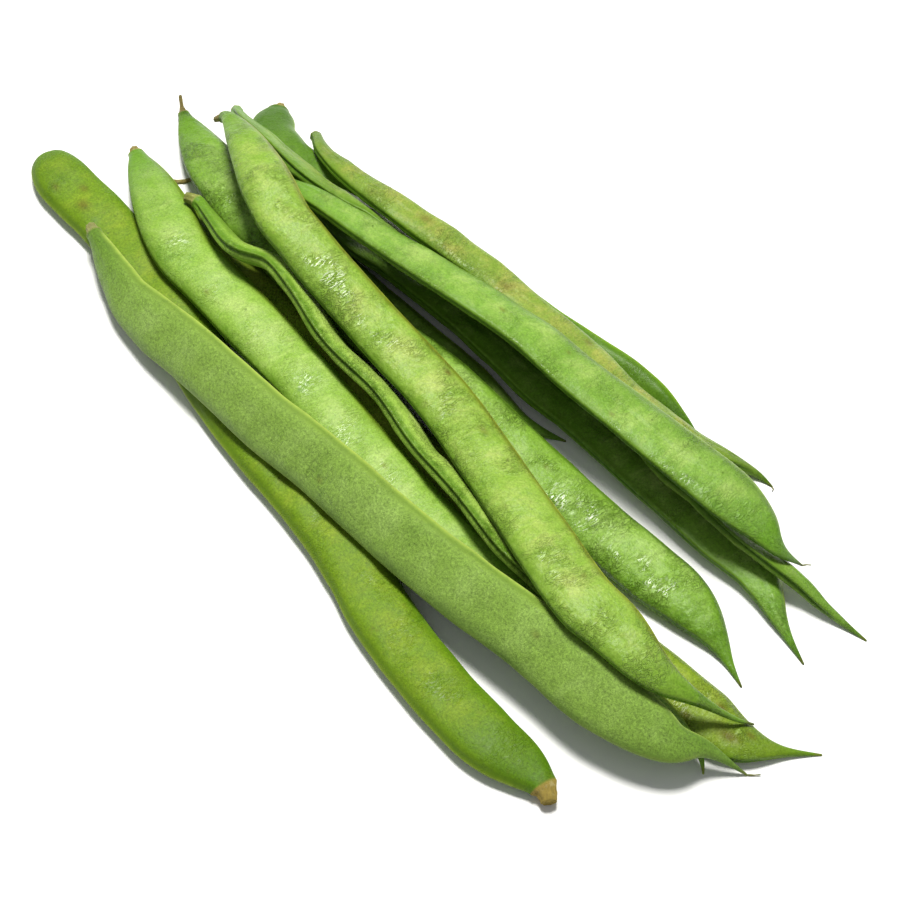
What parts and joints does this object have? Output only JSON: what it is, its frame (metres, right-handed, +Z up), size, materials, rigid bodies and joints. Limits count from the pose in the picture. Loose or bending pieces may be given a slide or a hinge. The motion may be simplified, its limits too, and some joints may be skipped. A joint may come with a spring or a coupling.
{
  "type": "green bean bundle",
  "caption": "Loose pile of long flat green bean pods lying side by side, tapering to pointed beaks, with short dry stem stubs.",
  "frame": {"origin": "centre of the pile's footprint, on the surface it lies on", "axes": "+X along the pods towards their beaks, +Y across the pile, +Z up"},
  "size_m": [0.296, 0.1218, 0.0315],
  "materials": {
    "matte_skin": null,
    "spotted_skin": "satin bean skin with olive spots",
    "shaded_skin": "satin deeper green bean skin",
    "glossy_skin": "moist glossy bean skin, finely wrinkled over the seeds",
    "pale_skin": "satin pale bean skin with yellowish patches"
  },
  "bodies": {
    "root": {"pod_01_floor_outer": "matte_skin", "pod_02_floor_inner": "spotted_skin", "pod_03_floor_short": "shaded_skin", "pod_04_floor_right": "shaded_skin", "pod_05_back_leaning": "shaded_skin", "pod_06_shoulder": "glossy_skin", "pod_07_glossy": "glossy_skin", "pod_08_ridge": "pale_skin", "pod_09_back_top": "pale_skin", "pod_10_wavy": "glossy_skin", "pod_11_front": "matte_skin", "pod_12_right_top": "pale_skin", "pod_13_crown": "glossy_skin"}
  },
  "joints": []
}
